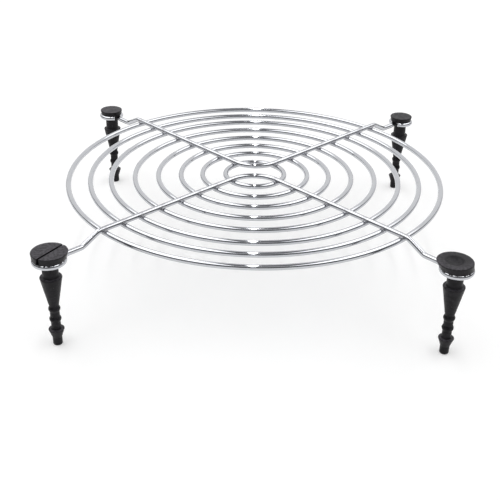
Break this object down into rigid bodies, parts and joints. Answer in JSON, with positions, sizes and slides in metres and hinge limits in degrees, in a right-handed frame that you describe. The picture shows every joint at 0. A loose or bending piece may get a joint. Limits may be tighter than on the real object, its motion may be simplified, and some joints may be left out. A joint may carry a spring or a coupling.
{
  "type": "fan guard",
  "caption": "Round finger guard of welded wire for a square axial fan: concentric rings under V-shaped support wires, with corner eyelets and rubber pull-through pins.",
  "frame": {"origin": "on the axis of the rings, at the height of the tips of the pins, on which the guard stands", "axes": "+Z out of the guard's outer face, which looks up; +X to the right; the front is towards -Y"},
  "size_m": [0.1148, 0.1148, 0.0297],
  "materials": {
    "chrome_wire": "bright nickel-chrome plated steel wire, smooth, with soft drawn streaks along the wire",
    "black_rubber": "matt black moulded rubber with a fine grain"
  },
  "bodies": {
    "root": {"front_support_wire": "chrome_wire", "rear_support_wire": "chrome_wire", "ring_1": "chrome_wire", "ring_2": "chrome_wire", "ring_3": "chrome_wire", "ring_4": "chrome_wire", "ring_5": "chrome_wire", "ring_6": "chrome_wire", "ring_7": "chrome_wire", "ring_8": "chrome_wire", "rubber_pin_front_left": "black_rubber", "rubber_pin_front_right": "black_rubber", "rubber_pin_rear_left": "black_rubber", "rubber_pin_rear_right": "black_rubber"}
  },
  "joints": []
}
